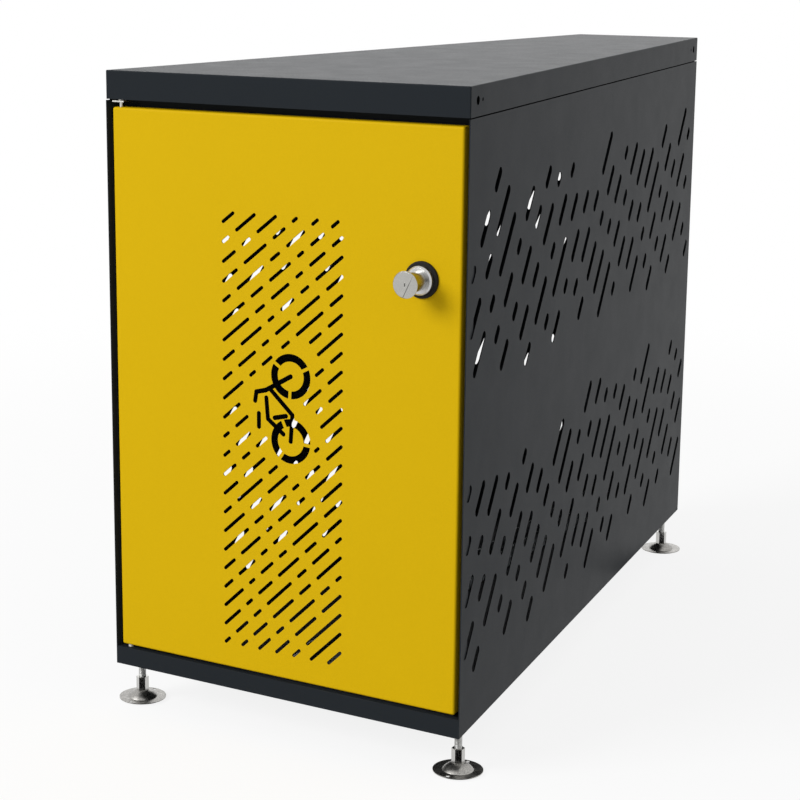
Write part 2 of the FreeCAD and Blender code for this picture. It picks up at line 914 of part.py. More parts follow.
def clear_of_symbol(point):
    """Whether a point keeps its margin from every stroke and wheel of the symbol."""
    margin = value("symbol_margin")
    for side in (-1, 1):
        centre = symbol_point((side * value("wheel_offset"), 0))
        if (point - centre).Length < value("wheel_outer") + margin:
            return False
    reach = margin + value("symbol_stroke") / 2
    for start, end in symbol_strokes():
        first = symbol_point(start)
        run = symbol_point(end) - first
        share = max(0, min(1, (point - first).dot(run) / run.dot(run)))
        if (point - first - run * share).Length < reach:
            return False
    frame_middle = symbol_point((0, 30))
    return (point - frame_middle).Length > 2 * reach


def free_runs(start, direction, length):
    """Split a slot where it would touch the symbol, as pairs of distances from its start."""
    sample = 1.0
    runs = []
    opened = None
    steps = int(length / sample)
    for index in range(steps + 1):
        free = clear_of_symbol(start + direction * (index * sample))
        if free and opened is None:
            opened = index * sample
        if opened is not None and (not free or index == steps):
            runs.append((opened, index * sample))
            opened = None
    return runs


def door_slot_tools():
    """Slots of the door: rows that fan slightly, from edge to edge of one tall block."""
    left = value("door_block_left")
    right = value("door_block_right")
    bottom = value("door_block_bottom")
    top = value("door_block_top")
    pitch = value("door_row_pitch")
    gap = value("door_slot_gap")
    width = value("door_slot")
    below = int((right - left) * math.tan(math.radians(DOOR_ANGLE_BOTTOM)) / pitch)
    rows = int((top - bottom) / pitch) + 1
    tools = []
    for row in range(-below, rows):
        height = bottom + row * pitch
        share = max(0, min(1, (height - bottom) / (top - bottom)))
        angle = math.radians(DOOR_ANGLE_BOTTOM + (DOOR_ANGLE_TOP - DOOR_ANGLE_BOTTOM) * share)
        direction = Vector(math.cos(angle), 0, math.sin(angle))
        origin = Vector(left, 0, height)
        travel = max(0, (bottom - height) / direction.z)
        finish = min((right - left) / direction.x, (top - height) / direction.z)
        step = row * 5 + 2
        while travel < finish - SHORTEST_SLOT:
            length = min(DOOR_LENGTHS[step % len(DOOR_LENGTHS)], finish - travel)
            if finish - travel - length < gap + SHORTEST_SLOT:
                length = finish - travel
            start = origin + direction * travel
            for near, far in free_runs(start, direction, length):
                if far - near >= SHORTEST_SLOT:
                    first = start + direction * (near + width / 2)
                    last = start + direction * (far - width / 2)
                    tools.append(obround(first, last, width, -SLOT_OVERSHOOT, SLOT_OVERSHOOT))
            travel += length + gap
            step += 1
    return tools


def sharp_inner(middle, gauge):
    """Whether the middle of an edge is on two of the inner faces of the door's sheet."""
    side = abs(abs(middle.x) - value("door_width / 2") + gauge) < 0.01
    end = min(abs(middle.z - gauge), abs(middle.z - value("door_height") + gauge)) < 0.01
    front = abs(middle.y - gauge) < 0.01
    return side + end + front >= 2


def build_door():
    half = "door_width / 2"
    body = new_body()
    block = pad(
        body,
        "XZ_Plane",
        [[("-" + half, "0"), (half, "0"), (half, "door_height"), ("-" + half, "door_height")]],
        "door_depth",
        True,
    )
    shell = folded_pan(body, block, Vector(0, 1, 0))
    rear = value("door_depth") - 0.1
    gauge = value("sheet_gauge")
    outside = value("door_width / 2") - gauge / 2
    upper = value("door_height") - gauge / 2

    def on_outside(middle):
        side = abs(middle.x) > outside
        end = not gauge / 2 < middle.z < upper
        front = middle.y < gauge / 2
        return middle.y < rear and side + end + front >= 2

    bent = rounded(body, shell, "door_bend", on_outside)

    def on_inside(middle):
        return middle.y < rear and sharp_inner(middle, gauge)

    rounded(body, bent, "door_bend - sheet_gauge", on_inside)
    edge = "(%s - sheet_gauge / 2)" % half
    rim = "(%s - door_lip)" % half
    top = "(door_height - sheet_gauge / 2)"
    rim_top = "(door_height - door_lip)"
    outer = [("-" + edge, "sheet_gauge / 2"), (edge, "sheet_gauge / 2"), (edge, top), ("-" + edge, top)]
    inner = [("-" + rim, "door_lip"), (rim, "door_lip"), (rim, rim_top), ("-" + rim, rim_top)]
    pad(body, "XZ_Plane", [outer, inner], "sheet_gauge", False, "-door_depth")
    place(body, "0", "door_recess", "door_bottom")
    slots = place(cutter(door_slot_tools() + symbol_tools()), "0", "door_recess", "0")
    lock_hole = cylinder("barrel_radius + barrel_gap", "door_depth / 2", along="y")
    place(lock_hole, "lock_offset", "0", "lock_height")
    holes = [slots, lock_hole]
    for bottom in ("door_bottom - bush_length / 2", "%s - bush_length / 2" % DOOR_TOP):
        holes.append(place(cylinder("bush_radius", "bush_length"), "-hinge_offset", "hinge_depth", bottom))
    node(cut(body, holes), "door_shell")


def build_stiffeners():
    gauge = "stiffener_gauge"
    flange = "hat_flange"
    inner = "hat_crown"
    outer = "(hat_crown + stiffener_gauge)"
    depth = "hat_depth"
    crown = "hat_depth + stiffener_gauge"
    half = [(inner, depth), (inner, "0"), (flange, "0"), (flange, gauge), (outer, gauge), (outer, crown)]
    hat = half + mirror_x(half[::-1])
    for side in ("left", "right"):
        body = prism("XY_Plane", [hat], "door_height - 2 * stiffener_end")
        place(body, "stiffener_" + side, "door_recess + sheet_gauge", "door_bottom + stiffener_end")
        node(body, "door_stiffener_" + side)


# Lock: distances outwards from the door's face are negative along Y


def place_lock(thing):
    return place(thing, "lock_offset", "door_recess", "lock_height")


def build_lock():
    gasket = turned([
        ("barrel_radius + barrel_gap", "0"),
        ("gasket_radius", "0"),
        ("gasket_radius", "-gasket_depth + 2.5"),
        ("gasket_radius - 0.8", "-gasket_depth + 0.9"),
        ("gasket_radius - 2.6", "-gasket_depth"),
        ("barrel_radius + barrel_gap", "-gasket_depth"),
    ])
    node(place_lock(gasket), "lock_gasket")

    bore = "neck_radius + 2 * running_gap"
    collar = turned([
        (bore, "barrel_end"),
        ("barrel_radius", "barrel_end"),
        ("barrel_radius", "-gasket_depth"),
        ("collar_radius", "-gasket_depth"),
        ("collar_radius", "-collar_depth + collar_bevel"),
        ("collar_radius - collar_bevel", "-collar_depth"),
        (bore, "-collar_depth"),
    ])
    node(place_lock(collar), "lock_collar")

    nut = hexagon("nut_circumradius", "nut_depth", "0", "sheet_gauge", "0", "y")
    nut_bore = cylinder("barrel_radius + running_gap", "2 * nut_depth", "0", "0", "0", "y")
    node(place_lock(cut(nut, [nut_bore])), "lock_nut")

    face = "-(knob_reach + door_recess)"
    rear = "(knob_length + %s)" % face
    grip_end = "-collar_depth - running_gap"
    cam_face = "(cam_depth - door_recess)"
    key_bore = "key_radius + running_gap"
    screw_bore = "cam_screw_radius + running_gap"
    key_end = face + " + key_length"
    screw_end = cam_face + " - cam_screw_bore"
    knob = turned([
        (screw_bore, cam_face),
        ("spindle_radius", cam_face),
        ("spindle_radius", "barrel_end"),
        ("neck_radius", "barrel_end"),
        ("neck_radius", grip_end),
        ("grip_radius", grip_end),
        ("grip_radius", rear),
        ("knob_radius - knob_rear_bevel", rear),
        ("knob_radius", rear + " - knob_rear_bevel"),
        ("knob_radius", face + " + knob_front_bevel"),
        ("knob_radius - knob_front_bevel", face),
        (key_bore, face),
        (key_bore, key_end),
        ("0", key_end),
        ("0", screw_end),
        (screw_bore, screw_end),
    ])
    node(place_lock(cut(knob, [thumb_facet()])), "lock_knob")

    plug = cylinder("key_radius", "key_length - running_gap", "0", face, "0", "y")
    keyway = box("keyway_width", "keyway_depth + 1", "keyway_height")
    place_local(keyway, "-keyway_width / 2", face + " - 1", "-keyway_height / 2")
    node(place_lock(cut(plug, [keyway])), "key_plug")

    arm = box("cam_width", "cam_gauge", "cam_length", "-cam_width / 2", cam_face, "-cam_length")
    hub = cylinder("cam_width / 2", "cam_gauge", "0", cam_face, "0", "y")
    cam_hole = cylinder(screw_bore, "3 * cam_gauge", "0", cam_face + " - cam_gauge", "0", "y")
    node(place_lock(cut(fuse([arm, hub]), [cam_hole])), "lock_cam")
    cam_back = cam_face + " + cam_gauge"
    head = hexagon("cam_screw_head", "cam_screw_head_depth", "0", cam_back, "0", "y")
    shank_length = "cam_screw_reach + cam_gauge + 1"
    shank = cylinder("cam_screw_radius", shank_length, "0", cam_face + " - cam_screw_reach", "0", "y")
    node(place_lock(fuse([head, shank])), "cam_screw")


def thumb_facet():
    """Block whose lower face is the sloping thumb rest on the front of the knob."""
    slope = math.radians(value("thumb_slope"))
    roll = math.radians(value("thumb_roll"))
    outward = Vector(0, -1, 0)
    side = Vector(math.cos(roll), 0, -math.sin(roll))
    downhill = side * math.cos(slope) - outward * math.sin(slope)
    normal = outward * math.cos(slope) + side * math.sin(slope)
    chord = normal.cross(downhill)
    crease = side * value("thumb_offset") + outward * value("knob_reach + door_recess")
    block = doc.addObject("Part::Box", "facet")
    bind(block, "Length", "knob_radius * 2")
    bind(block, "Width", "knob_radius * 3")
    bind(block, "Height", "knob_length")
    corner = crease - chord * value("knob_radius * 1.5")
    block.Placement = Placement(corner, Rotation(downhill, chord, normal, "ZXY"))
    return block


# Feet


def build_plates():
    """Mounting plates under the floor, with a nut on each, for the four feet."""
    front_y = "(sill_depth + sheet_gauge)"
    rear_y = "(foot_rear_depth - plate_reach)"
    spots = (
        (front_y, "(foot_front_depth + plate_reach)", "(foot_front_offset - plate_inner_front)"),
        (rear_y, "(foot_rear_depth + plate_reach)", "(foot_rear_offset - plate_inner_rear)"),
    )
    places = (("foot_front_offset", "foot_front_depth"), ("foot_rear_offset", "foot_rear_depth"))
    nuts = []
    for (start, finish, inner), (x, y), name in zip(spots, places, ("front", "rear")):
        plan = [
            (inner, start),
            (panel_edge(start, "2 * sheet_gauge"), start),
            (panel_edge(finish, "2 * sheet_gauge"), finish),
            (inner, finish),
        ]
        plate = place(prism("XY_Plane", [plan], "plate_gauge"), "0", "0", "plate_level")
        hole = place(cylinder("stud_radius + stud_clearance", "sill_height"), x, y, "0")
        right = cut(plate, [hole])
        node(group([right, mirrored(right)]), "foot_plates_" + name)
        nut = place(hexagon("hex_circumradius", "foot_nut_depth"), x, y, "plate_level + plate_gauge")
        bore = place(cylinder("stud_radius + 2 * running_gap", "sill_height"), x, y, "0")
        threaded = cut(nut, [bore])
        nuts += [threaded, mirrored(threaded)]
    node(group(nuts), "foot_nuts")


def build_foot(name, x, y):
    """One levelling foot: flanged base with dome, pad, hexagonal sleeve and stud."""
    floor = "-leg_height"
    centre_drop = "((dome_top^2 + dome_height^2 - dome_base^2) / 2 / dome_height)"
    flange_top = "(flange_level + flange_gauge)"
    sphere = doc.addObject("Part::Sphere", "ball")
    bind(sphere, "Radius", "sqrt(dome_base^2 + %s^2)" % centre_drop)
    place_local(sphere, "0", "0", "%s + %s" % (flange_top, centre_drop))
    dome = doc.addObject("Part::Common", "dome")
    dome.Base = sphere
    dome.Tool = cylinder("dome_base", "dome_height", "0", "0", flange_top)
    flange = cylinder("flange_radius", "flange_gauge", "0", "0", "flange_level")
    stud_bore = "stud_radius + running_gap"
    holes = [cylinder(stud_bore, "leg_height", "0", "0", flange_top)]
    for end in ("anchor_spacing / 2", "-anchor_spacing / 2"):
        holes.append(cylinder("anchor_radius", "dome_base", "0", end, "0"))
    node(place(cut(fuse([dome, flange]), holes), x, y, floor), "foot_disc_" + name)

    pad_disc = cylinder("dome_base - pad_inset", "flange_level")
    node(place(pad_disc, x, y, floor), "foot_pad_" + name)

    sleeve_level = "(%s + dome_height)" % flange_top
    sleeve = hexagon("hex_circumradius", "sleeve_height")
    place_local(sleeve, "0", "0", sleeve_level, Vector(0, 0, 1), value("sleeve_turn"))
    node(place(cut(sleeve, [cylinder(stud_bore, "leg_height")]), x, y, floor), "foot_sleeve_" + name)

    stud = cylinder("stud_radius", "leg_height + stud_top - %s" % flange_top)
    node(place(stud, x, y, floor + " + " + flange_top), "foot_stud_" + name)


def check_and_write():
    """Stop on any failed object or bad shape, then write one file per sub-part."""
    doc.recompute()
    for thing in doc.Objects:
        if "Invalid" in thing.State or "Error" in thing.State:
            raise RuntimeError("failed object: %s %s" % (thing.Name, thing.State))
    for part in nodes:
        shape = part.Shape
        if shape.isNull() or not shape.isValid() or not shape.Solids:
            raise RuntimeError("bad shape: " + part.Label)
    os.makedirs("parts", exist_ok=True)
    for part in nodes:
        part.Shape.exportStep("parts/%s.step" % part.Label)
        print("%-24s %2d solids %12.1f mm3" % (part.Label, len(part.Shape.Solids), part.Shape.Volume))


build_roof()
build_panels()
build_floor()
build_frame()
build_hinge()
build_strike()
build_buffers()
build_guide()
build_door()
build_stiffeners()
build_lock()
build_plates()
for foot_name, foot_x, foot_y in (
    ("front_left", "-foot_front_offset", "foot_front_depth"),
    ("front_right", "foot_front_offset", "foot_front_depth"),
    ("rear_left", "-foot_rear_offset", "foot_rear_depth"),
    ("rear_right", "foot_rear_offset", "foot_rear_depth"),
):
    build_foot(foot_name, foot_x, foot_y)
check_and_write()
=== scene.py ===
import json
import math

import bpy
from mathutils import Euler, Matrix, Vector


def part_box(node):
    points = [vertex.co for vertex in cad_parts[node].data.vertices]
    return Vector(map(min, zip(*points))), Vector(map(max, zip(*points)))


# Bicycle locker: materials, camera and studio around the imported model. Metres.

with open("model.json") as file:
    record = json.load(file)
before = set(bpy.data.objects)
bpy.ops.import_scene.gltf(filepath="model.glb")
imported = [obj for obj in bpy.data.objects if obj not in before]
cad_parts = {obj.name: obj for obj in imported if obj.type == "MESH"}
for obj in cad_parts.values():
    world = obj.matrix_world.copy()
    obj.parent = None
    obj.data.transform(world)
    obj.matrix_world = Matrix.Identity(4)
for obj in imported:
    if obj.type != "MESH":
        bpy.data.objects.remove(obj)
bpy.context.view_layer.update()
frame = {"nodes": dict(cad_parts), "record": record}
nodes = frame["nodes"]

MM = 0.001


# Node helpers

# Shares that rise from none to all, or fall from all to none
RISE = (0.0, 1.0)
FALL = (1.0, 0.0)
# How far an offset of 1 moves a noise along each axis
NOISE_SHIFT = (1.0, 0.7, 1.3)
BEVEL_SAMPLES = 4
# The band that counts as an edge is wider than its rounding. Towards the edge the rounded
# normal turns away from the flat one, and their dot product falls through this range.
EDGE_WIDENING = 2.5
EDGE_TURN = (0.98, 0.75)


class ShaderTree:
    """A node tree under construction and a few shorthands for it."""

    def __init__(self, tree, output_kind):
        self.tree = tree
        self.tree.nodes.clear()
        self.output = self.add(output_kind)

    def add(self, kind, settings=None, **inputs):
        """New node. Inputs take a plain value or the socket that feeds them."""
        made = self.tree.nodes.new(kind)
        for key, setting in (settings or {}).items():
            setattr(made, key, setting)
        for key, given in inputs.items():
            self.feed(made.inputs[key.replace("_", " ")], given)
        return made

    def feed(self, socket, given):
        if isinstance(given, bpy.types.NodeSocket):
            self.tree.links.new(given, socket)
        else:
            socket.default_value = given

    def feed_in_order(self, made, *parts):
        """Feed a node's first inputs in their order."""
        for index, part in enumerate(parts):
            self.feed(made.inputs[index], part)

    def span(self, given, source, target, smooth=False):
        """Map a value from one range to another, held at the ends."""
        course = "SMOOTHSTEP" if smooth else "LINEAR"
        made = self.add("ShaderNodeMapRange", {"interpolation_type": course, "clamp": True})
        self.feed_in_order(made, given, *source, *target)
        return made.outputs["Result"]

    def calculate(self, operation, *parts):
        made = self.add("ShaderNodeMath", {"operation": operation})
        self.feed_in_order(made, *parts)
        return made.outputs["Value"]

    def plus(self, first, second):
        return self.calculate("ADD", first, second)

    def minus(self, first, second):
        return self.calculate("SUBTRACT", first, second)

    def times(self, first, second):
        return self.calculate("MULTIPLY", first, second)

    def blend(self, share, first, second):
        """Colour between two colours."""
        made = self.add("ShaderNodeMix", {"data_type": "RGBA"})
        self.feed(made.inputs["Factor"], share)
        self.feed(made.inputs["A"], first)
        self.feed(made.inputs["B"], second)
        return made.outputs["Result"]

    def seen_share(self):
        """1 for what the camera, a reflection or a see-through ray meets, 0 for soft light."""
        rays = self.add("ShaderNodeLightPath").outputs
        share = self.calculate("MAXIMUM", rays["Is Camera Ray"], rays["Is Glossy Ray"])
        return self.calculate("MAXIMUM", share, rays["Is Transmission Ray"])

    def show(self, shader):
        """Feed the tree's output."""
        self.feed(self.output.inputs["Surface"], shader)


class Surface(ShaderTree):
    """A material under construction."""

    def __init__(self, name):
        self.material = bpy.data.materials.new(name)
        self.material.use_nodes = True
        super().__init__(self.material.node_tree, "ShaderNodeOutputMaterial")
        coordinates = self.add("ShaderNodeTexCoord").outputs
        self.place = coordinates["Object"]
        self.facing = coordinates["Normal"]

    def noise(self, scale, detail=3.0, roughness=0.6, stretch=None, offset=0.0):
        """Noise value with features about 1 / scale metres across."""
        place = self.place
        if stretch or offset:
            mapping = self.add("ShaderNodeMapping", Vector=place)
            mapping.inputs["Location"].default_value = [offset * part for part in NOISE_SHIFT]
            mapping.inputs["Scale"].default_value = stretch or (1, 1, 1)
            place = mapping.outputs["Vector"]
        texture = self.add(
            "ShaderNodeTexNoise", Vector=place, Scale=scale, Detail=detail, Roughness=roughness
        )
        return texture.outputs["Fac"]

    def part_of(self, vector, axis):
        """One coordinate of a vector: X, Y or Z."""
        return self.add("ShaderNodeSeparateXYZ", Vector=vector).outputs[axis]

    def within(self, axis, low, high):
        """1 between two places along an axis, 0 elsewhere."""
        place = self.part_of(self.place, axis)
        return self.calculate("COMPARE", place, (low + high) / 2, (high - low) / 2)

    def bump(self, height, depth, normal=None):
        """Bump of a height from 0 to 1 over a depth in metres."""
        made = self.add("ShaderNodeBump", Height=height, Distance=depth, Strength=1.0)
        if normal is not None:
            self.feed(made.inputs["Normal"], normal)
        return made.outputs["Normal"]

    def rounded(self, radius):
        """Normal that rounds the edges by a radius."""
        bevel = self.add("ShaderNodeBevel", {"samples": BEVEL_SAMPLES}, Radius=radius)
        return bevel.outputs["Normal"]

    def edge_share(self, radius):
        """1 on the edges that the same radius rounds, 0 away from them."""
        flat = self.add("ShaderNodeNewGeometry").outputs["Normal"]
        turned = self.add("ShaderNodeVectorMath", {"operation": "DOT_PRODUCT"})
        self.feed_in_order(turned, self.rounded(radius * EDGE_WIDENING), flat)
        return self.span(turned.outputs["Value"], EDGE_TURN, RISE)

    def finish(self, **inputs):
        """Show one principled shader with these inputs and give back the material."""
        self.show(self.add("ShaderNodeBsdfPrincipled", **inputs).outputs["BSDF"])
        return self.material


def linear(red, green, blue):
    """Colour from 0 to 255 values as they show on a screen."""
    channels = []
    for value in (red, green, blue):
        share = value / 255
        channels.append(share / 12.92 if share <= 0.04045 else ((share + 0.055) / 1.055) ** 2.4)
    return (*channels, 1.0)


def shade(colour, factor):
    """A colour made paler or darker, at most white."""
    return (*(min(1.0, part * factor) for part in colour[:3]), 1.0)


BLACK = linear(0, 0, 0)
WHITE = linear(255, 255, 255)


# Powder coats

# Most values of a noise lie in this range
MOST_NOISE = (0.3, 0.7)
PEEL_SCALE = 520
SPECKLE_SCALE = 1500
CLOUD_SCALE = 2.6
SMUDGE_SCALE = 14
COAT_EDGE = 0.7 * MM
# Share of the orange peel's depth
SPECKLE_DEPTH = 0.25
# Effects on the tone: two noise values, and the effect's shares at the two
FLECKS = ((0.12, 0.42), (0.0, 0.34))
PITS = ((0.30, 0.44), (0.42, 0.0))
# Paler edges: partly rubbed wear, partly a painted highlight
RUB_AND_HIGHLIGHT = ((0.42, 0.66), (0.08, 0.5))
# Painted shade on the walls of slots: its share between these noise values
WALL_SHADE = ((0.3, 0.6), (0.75, 0.95))
# What smudges and the orange peel add to the roughness
SMUDGE_FILM = 0.02
PEEL_FILM = (-0.04, 0.05)
# The normal's part along the axis that a sheet faces: small on the walls of its slots
WALL_TURN = (0.3, 0.7)


def slot_walls(made, axis, across, field):
    """1 on the walls of the slots in a sheet that faces an axis."""
    start, end, bottom, top = field
    turned = made.calculate("ABSOLUTE", made.part_of(made.facing, axis))
    share = made.span(turned, WALL_TURN, FALL)
    share = made.times(share, made.within(across, start, end))
    return made.times(share, made.within("Z", bottom, top))


def powder_coat(name, colour, worn_and_highlight, gloss, roughness, peel, slots=None, painted_shade=None, seam=None):
    """Sprayed and baked coat: orange peel, fine speckle, cloudy film, rubbed edges with a
    painted highlight.

    slots names the axis that a slotted sheet faces, the axis across it and the field of
    its slots; seam is the span of heights behind a seam. Both are darkened as painted
    shade, towards the colour given for it.
    """
    made = Surface(name)
    peel_field = made.noise(PEEL_SCALE, detail=2.5, roughness=0.55)
    speckle = made.noise(SPECKLE_SCALE, detail=1.5, offset=3.0)
    cloud = made.noise(CLOUD_SCALE, detail=5.0, roughness=0.55, offset=1.0)
    smudge = made.noise(SMUDGE_SCALE, detail=4.0, offset=7.0)

    dull = shade(colour, 0.985)
    fresh = shade(colour, 1.015)
    fleck_tone = shade(colour, 1.22)
    pit_tone = shade(colour, 0.74)
    tone = made.blend(made.span(cloud, MOST_NOISE, RISE), dull, fresh)
    tone = made.blend(made.span(made.times(peel_field, speckle), *FLECKS), tone, fleck_tone)
    tone = made.blend(made.span(speckle, *PITS), tone, pit_tone)
    # Paler edges, partly rubbed wear and partly a painted highlight
    rub_and_highlight = made.times(made.edge_share(COAT_EDGE), made.span(smudge, *RUB_AND_HIGHLIGHT))
    tone = made.blend(rub_and_highlight, tone, worn_and_highlight)

    film = made.span(smudge, MOST_NOISE, (roughness - SMUDGE_FILM, roughness + SMUDGE_FILM))
    film = made.plus(film, made.span(peel_field, MOST_NOISE, PEEL_FILM))
    # Painted shade on the walls of the slots, stronger or weaker with the smudges
    if slots:
        wall_shade = made.times(slot_walls(made, *slots), made.span(smudge, *WALL_SHADE))
        tone = made.blend(wall_shade, tone, painted_shade)
    # Painted shade in the seam under the roof's lip and on the panel behind the lip, with a
    # rougher film
    if seam:
        behind = made.within("Z", *seam)
        tone = made.blend(behind, tone, painted_shade)
        film = made.plus(film, behind)

    normal = made.bump(peel_field, peel, made.rounded(COAT_EDGE))
    normal = made.bump(speckle, peel * SPECKLE_DEPTH, normal)
    return made.finish(Base_Color=tone, Roughness=film, Normal=normal, Specular_IOR_Level=gloss)


# Metals

TARNISH_SCALE = 60
METAL_EDGE = 0.35 * MM
METAL_DEPTH = 0.012 * MM
# Factors of tarnish on the roughness, and what the grain adds to it
METAL_FILM = (0.8, 1.25)
GRAIN_FILM = (-0.03, 0.05)
# Dark grains set in between these noise values
GRAIN_RANGE = (0.4, 0.6)
# Share of the painted highlight on rounded edges
EDGE_GLINT = 0.3
# The painted shade along the crease fades out between two distances from its middle, and
# pales up to a height over the knob's axis. It shows on the front only, where the normal's Y is
# near -1.
CREASE_WIDTH = (0.3 * MM, 1.2 * MM)
CREASE_HEIGHT = (0.0, 12 * MM)
CREASE_PALING = (1.0, 0.3)
CREASE_SHARE = 0.75
FRONT_TURN = (-0.9, -0.8)
THREAD_SCALE = 900
THREAD_DEPTH = 0.5 * MM
THREAD_SPOTS = ((0.35, 0.7), (0.0, 0.3))
THREAD_FILM = (0.8, 1.3)
SPANGLE_SCALE = 95
# Roughness of dull and pale spangles
SPANGLE_FILM = (0.32, 0.5)
ZINC_SCALE = 700
ZINC_EDGE = 0.5 * MM
ZINC_DEPTH = 0.02 * MM
ZINC_SPOTS = ((0.4, 0.7), (0.0, 0.3))


def scaled(factors, roughness):
    """Lowest and highest roughness from a factor for each."""
    return [factor * roughness for factor in factors]


def crease_line(made, axis, offset, roll):
    """1 where shade is painted along the crease of the thumb rest on the knob's face, 0 away.
    """
    aside = made.minus(made.part_of(made.place, "X"), axis.x)
    above = made.minus(made.part_of(made.place, "Z"), axis.z)
    across = made.plus(made.times(aside, math.cos(roll)), made.times(above, -math.sin(roll)))
    distance = made.calculate("ABSOLUTE", made.minus(across, offset))
    line = made.span(distance, CREASE_WIDTH, FALL)
    line = made.times(line, made.span(above, CREASE_HEIGHT, CREASE_PALING))
    return made.times(line, made.span(made.part_of(made.facing, "Y"), FRONT_TURN, FALL))


def bare_metal(
    name,
    colour,
    roughness,
    grain,
    stretch=None,
    tint=0.10,
    spots=0.35,
    edges=METAL_EDGE,
    crease=None,
):
    """Uncoated metal: fine grain or brushing, cloudy tone and roughness, painted edge
    highlights.

    grain is the scale of its noise and stretch a factor on it along each axis. tint is how
    far the clouds change the tone, and spots how strongly the dark grains show. edges is
    the radius of its rounded edges, and crease the axis, offset and roll of the crease
    along which shade is painted.
    """
    made = Surface(name)
    fine = made.noise(grain, stretch=stretch)
    cloud = made.noise(TARNISH_SCALE, detail=4.0, offset=2.0)
    spot_tone = shade(colour, 0.5)
    edge_tone = shade(colour, 1.25)
    crease_shade_tone = shade(colour, 0.08)
    tone = made.blend(cloud, shade(colour, 1 - tint), shade(colour, 1 + tint))
    tone = made.blend(made.span(fine, GRAIN_RANGE, (0.0, spots)), tone, spot_tone)
    # Painted highlight on the rounded edges
    tone = made.blend(made.times(made.edge_share(edges), EDGE_GLINT), tone, edge_tone)
    # Painted shade along the crease of the knob's thumb rest
    if crease:
        line = made.times(crease_line(made, *crease), CREASE_SHARE)
        tone = made.blend(line, tone, crease_shade_tone)
    film = made.span(cloud, MOST_NOISE, scaled(METAL_FILM, roughness))
    film = made.plus(film, made.span(fine, MOST_NOISE, GRAIN_FILM))
    normal = made.bump(fine, METAL_DEPTH, made.rounded(edges))
    return made.finish(Base_Color=tone, Roughness=film, Normal=normal, Metallic=1.0)


def threaded_metal(name, colour, roughness, pitch):
    """Stud with a thread round it, along Z, with painted shade in its roots and light on its
    crests.
    """
    made = Surface(name)
    bands = {"wave_type": "BANDS", "bands_direction": "Z", "wave_profile": "TRI"}
    # Blender's bands repeat every pi / (10 * scale)
    scale = math.pi / (10 * pitch)
    wave = made.add("ShaderNodeTexWave", bands, Vector=made.place, Scale=scale, Distortion=0.0)
    thread = wave.outputs["Fac"]
    fine = made.noise(THREAD_SCALE)
    root_shade_tone = shade(colour, 0.55)
    crest_light_tone = shade(colour, 1.05)
    spot_tone = shade(colour, 0.75)
    # Painted shade in the thread's roots, painted light on its crests
    tone = made.blend(thread, root_shade_tone, crest_light_tone)
    tone = made.blend(made.span(fine, *THREAD_SPOTS), tone, spot_tone)
    film = made.span(fine, MOST_NOISE, scaled(THREAD_FILM, roughness))
    normal = made.bump(thread, THREAD_DEPTH)
    return made.finish(Base_Color=tone, Roughness=film, Normal=normal, Metallic=1.0)


def galvanised_metal(name, colour):
    """Zinc with large pale and dull spangles."""
    made = Surface(name)
    cells = made.add(
        "ShaderNodeTexVoronoi", {"feature": "F1"}, Vector=made.place, Scale=SPANGLE_SCALE
    )
    spangle = made.add("ShaderNodeSeparateColor", Color=cells.outputs["Color"]).outputs["Red"]
    fine = made.noise(ZINC_SCALE)
    dull = shade(colour, 0.82)
    pale = shade(colour, 1.12)
    spot_tone = shade(colour, 0.7)
    tone = made.blend(spangle, dull, pale)
    tone = made.blend(made.span(fine, *ZINC_SPOTS), tone, spot_tone)
    film = made.span(spangle, RISE, SPANGLE_FILM)
    normal = made.bump(fine, ZINC_DEPTH, made.rounded(ZINC_EDGE))
    return made.finish(Base_Color=tone, Roughness=film, Normal=normal, Metallic=1.0)


# Rubber

RUBBER_SCALE = 1100
BLOOM_SCALE = 45
RUBBER_EDGE = 0.6 * MM
RUBBER_DEPTH = 0.03 * MM
BLOOM = ((0.4, 0.75), (0.0, 0.5))
BLOOM_FILM = (-0.08, 0.1)
EDGE_WEAR = 0.4


def rubber(name, colour, roughness, gloss):
    """Matt rubber with a pale bloom and pale edges."""
    made = Surface(name)
    fine = made.noise(RUBBER_SCALE)
    bloom = made.noise(BLOOM_SCALE, detail=4.0, offset=4.0)
    bloom_tone = shade(colour, 2.1)
    edge_tone = shade(colour, 2.6)
    tone = made.blend(made.span(bloom, *BLOOM), colour, bloom_tone)
    tone = made.blend(made.times(made.edge_share(RUBBER_EDGE), EDGE_WEAR), tone, edge_tone)
    film = made.span(bloom, MOST_NOISE, [roughness + change for change in BLOOM_FILM])
    normal = made.bump(fine, RUBBER_DEPTH, made.rounded(RUBBER_EDGE))
    return made.finish(Base_Color=tone, Roughness=film, Normal=normal, Specular_IOR_Level=gloss)


# Materials of the locker

DARK_PEEL = 0.03 * MM
YELLOW_PEEL = 0.05 * MM
# The worn colours are also a painted highlight on the coats' edges
ANTHRACITE = {
    "colour": linear(38, 42, 46),
    "worn_and_highlight": linear(78, 82, 86),
    "gloss": 0.03,
    "roughness": 0.36,
    "peel": DARK_PEEL,
}
ZINC_YELLOW = {
    "colour": linear(217, 178, 10),
    "worn_and_highlight": linear(230, 202, 84),
    "gloss": 0.05,
    "roughness": 0.5,
    "peel": YELLOW_PEEL,
}
PLUG_BLACK = {
    "colour": linear(4, 4, 4),
    "worn_and_highlight": linear(8, 8, 8),
    "gloss": 0.0,
    "roughness": 0.9,
    "peel": DARK_PEEL,
}
NYLON_WHITE = {
    "colour": linear(228, 226, 220),
    "worn_and_highlight": linear(238, 236, 232),
    "gloss": 0.3,
    "roughness": 0.4,
    "peel": DARK_PEEL,
}
CHROME = {"colour": linear(184, 183, 178), "roughness": 0.22, "grain": 1400, "tint": 0.05}
KEY_EDGE = 0.1 * MM
THREAD_PITCH = 2.0 * MM
